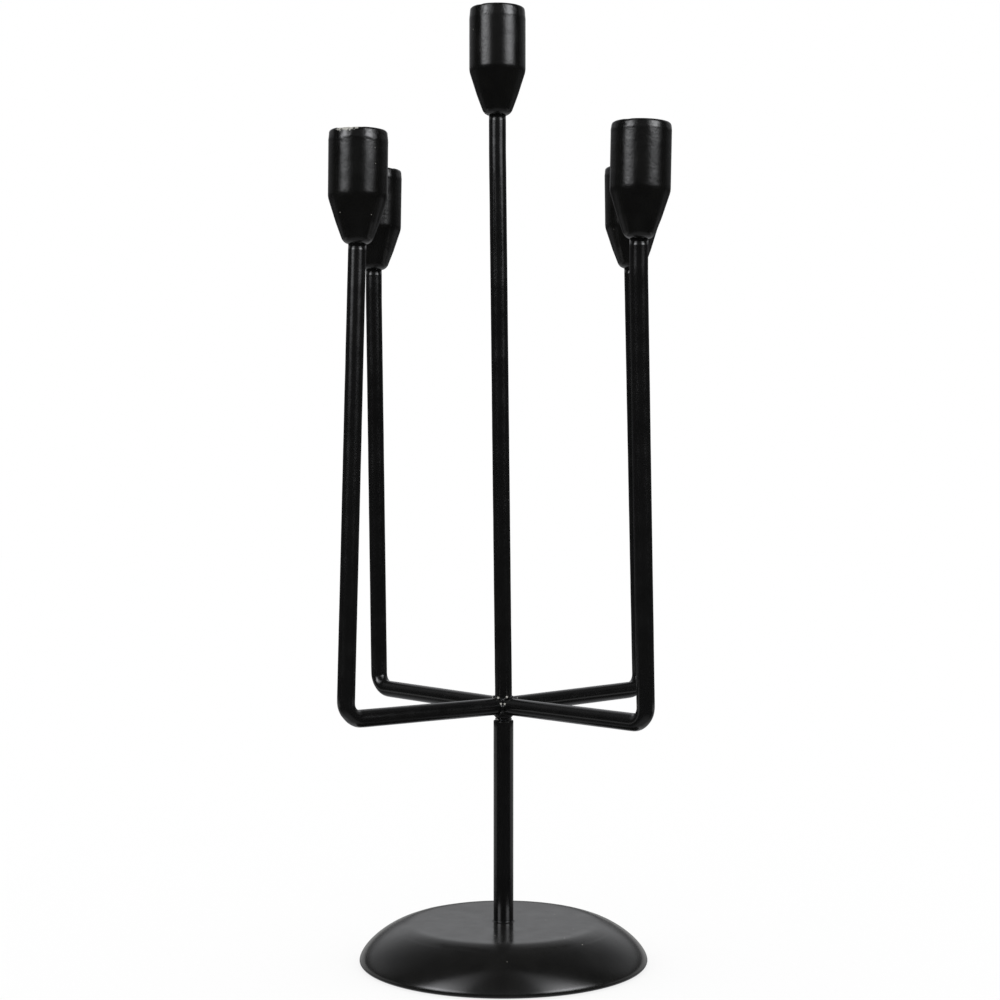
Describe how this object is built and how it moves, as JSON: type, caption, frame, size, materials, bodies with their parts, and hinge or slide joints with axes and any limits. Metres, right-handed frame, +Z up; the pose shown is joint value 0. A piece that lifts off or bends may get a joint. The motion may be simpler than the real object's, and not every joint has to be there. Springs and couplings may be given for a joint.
{
  "type": "candelabrum",
  "caption": "Free-standing candelabrum in satin black: low round base, short stem, centre rod and bent side arms, a tapered candle cup on top of each.",
  "frame": {"origin": "middle of the base pad's underside, on the surface it stands on", "axes": "+Z up along the stem, -Y to the front, the arms stand out along the diagonals between X and Y"},
  "size_m": [0.1571, 0.1612, 0.4436],
  "materials": {
    "black_paint": "satin black powder coat with a fine orange peel",
    "black_paint_on_iron": "satin black powder coat over a smooth iron casting",
    "felt": "pressed black felt",
    "zinc": "bright zinc plate"
  },
  "bodies": {
    "base": {"base_casting": "black_paint_on_iron", "base_pad": "felt", "base_screw": "zinc", "base_washer": "zinc", "lower_stem": "black_paint"},
    "joint_washer": {"joint_washer": "black_paint"},
    "upper_section": {"joint_stud": "zinc", "centre_rod": "black_paint", "arm_front_left": "black_paint", "arm_front_right": "black_paint", "arm_back_right": "black_paint", "arm_back_left": "black_paint", "weld_front": "black_paint", "weld_right": "black_paint", "weld_back": "black_paint", "weld_left": "black_paint", "cup_centre": "black_paint", "screw_centre": "zinc", "cup_front_left": "black_paint", "screw_front_left": "zinc", "cup_front_right": "black_paint", "screw_front_right": "zinc", "cup_back_right": "black_paint", "screw_back_right": "zinc", "cup_back_left": "black_paint", "screw_back_left": "zinc"}
  },
  "joints": [
    {"name": "joint_rise", "type": "slide", "parent": "base", "child": "joint_washer", "axis": [0, 0, 1], "range_m": [0, 0.008]},
    {"name": "joint_turn", "type": "hinge", "parent": "joint_washer", "child": "upper_section", "pos_m": [0, 0, 0.1136], "axis": [0, 0, 1], "range_deg": [0, 3600]}
  ],
  "couplings": [
    {"joint": "joint_rise", "follows": "joint_turn", "m_per_rad": 0.00012732}
  ]
}
